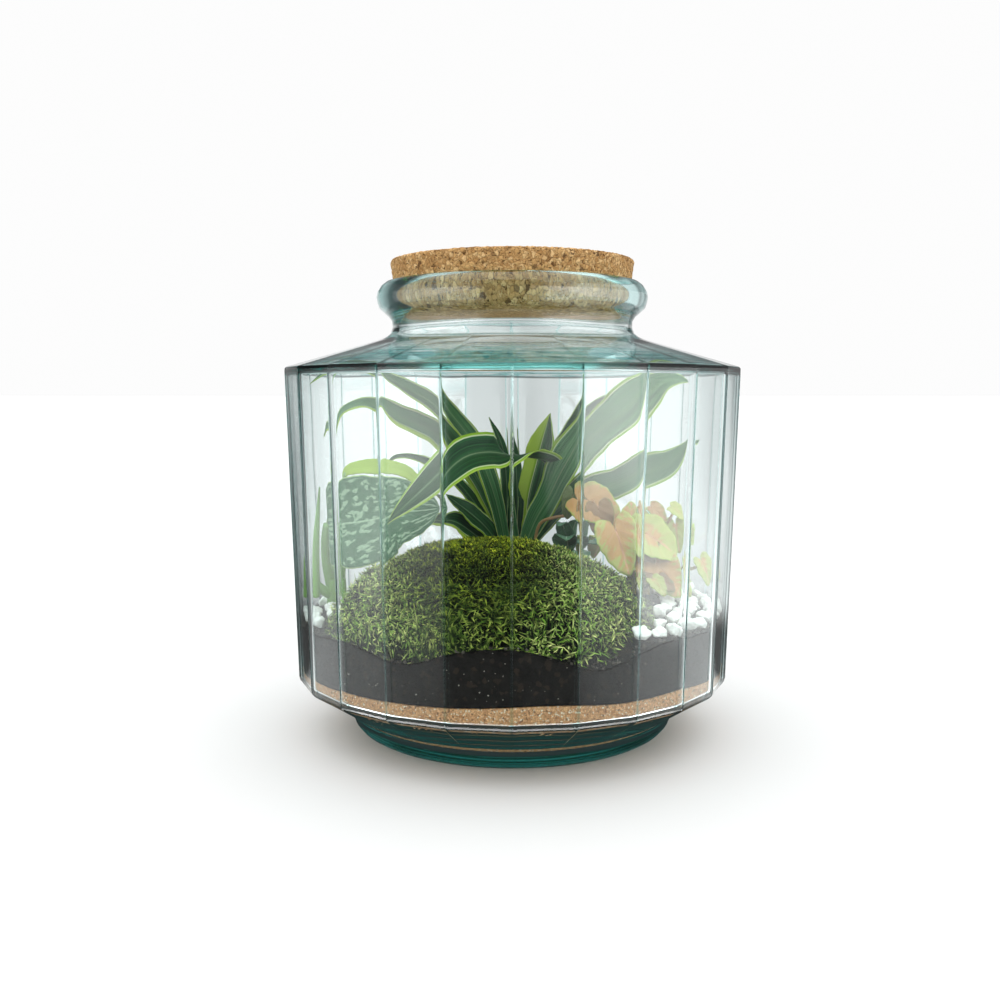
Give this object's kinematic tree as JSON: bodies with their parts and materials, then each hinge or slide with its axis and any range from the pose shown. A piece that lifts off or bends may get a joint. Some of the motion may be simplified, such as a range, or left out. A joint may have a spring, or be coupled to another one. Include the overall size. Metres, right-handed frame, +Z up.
{
  "type": "glass plant terrarium",
  "caption": "Closed glass jar with flat panels and a cork stopper, holding grit, soil, a moss cushion, white stones and four leafy plants.",
  "frame": {"origin": "centre of the foot's flat resting ring, on the jar's axis", "axes": "+Z up along the jar's axis, -Y towards the viewer, on a corner edge of the panelled body, +X to the viewer's right"},
  "size_m": [0.28, 0.28, 0.2912],
  "materials": {
    "glass": "clear, slightly green, with soft pressing waves",
    "cork": "pressed cork granules, matte",
    "grit": "loose tan grains",
    "soil": "dark crumbs with pale flecks",
    "moss": "fine upright tufts, matte",
    "dracaena_leaf": "waxy, dark green with lime margins and a white line",
    "spotted_leaf": "satin, green with silvery spots",
    "arrowhead_leaf": "satin, peach with yellow-green margins",
    "netted_leaf": "satin, dark green with pale veins",
    "white_stone": "broken white stone, matte"
  },
  "bodies": {
    "root": {"jar": "glass", "cork_stopper": "cork", "grit_layer": "grit", "soil": "soil", "moss_cushion": "moss", "dracaena": "dracaena_leaf", "spotted_plant": "spotted_leaf", "arrowhead_plant": "arrowhead_leaf", "netted_plant": "netted_leaf", "stone_left_01": "white_stone", "stone_left_02": "white_stone", "stone_left_03": "white_stone", "stone_left_04": "white_stone", "stone_left_05": "white_stone", "stone_left_06": "white_stone", "stone_left_07": "white_stone", "stone_left_08": "white_stone", "stone_left_09": "white_stone", "stone_left_10": "white_stone", "stone_left_11": "white_stone", "stone_left_12": "white_stone", "stone_left_13": "white_stone", "stone_left_14": "white_stone", "stone_left_15": "white_stone", "stone_right_01": "white_stone", "stone_right_02": "white_stone", "stone_right_03": "white_stone", "stone_right_04": "white_stone", "stone_right_05": "white_stone", "stone_right_06": "white_stone", "stone_right_07": "white_stone", "stone_right_08": "white_stone", "stone_right_09": "white_stone", "stone_right_10": "white_stone", "stone_right_11": "white_stone", "stone_right_12": "white_stone", "stone_right_13": "white_stone", "stone_right_14": "white_stone", "stone_right_15": "white_stone", "stone_right_16": "white_stone", "stone_right_17": "white_stone", "stone_right_18": "white_stone", "stone_right_19": "white_stone", "stone_right_20": "white_stone", "stone_right_21": "white_stone", "stone_right_22": "white_stone", "stone_right_23": "white_stone", "stone_right_24": "white_stone", "stone_right_25": "white_stone", "stone_right_26": "white_stone", "stone_right_27": "white_stone", "stone_right_28": "white_stone", "stone_right_29": "white_stone"}
  },
  "joints": []
}
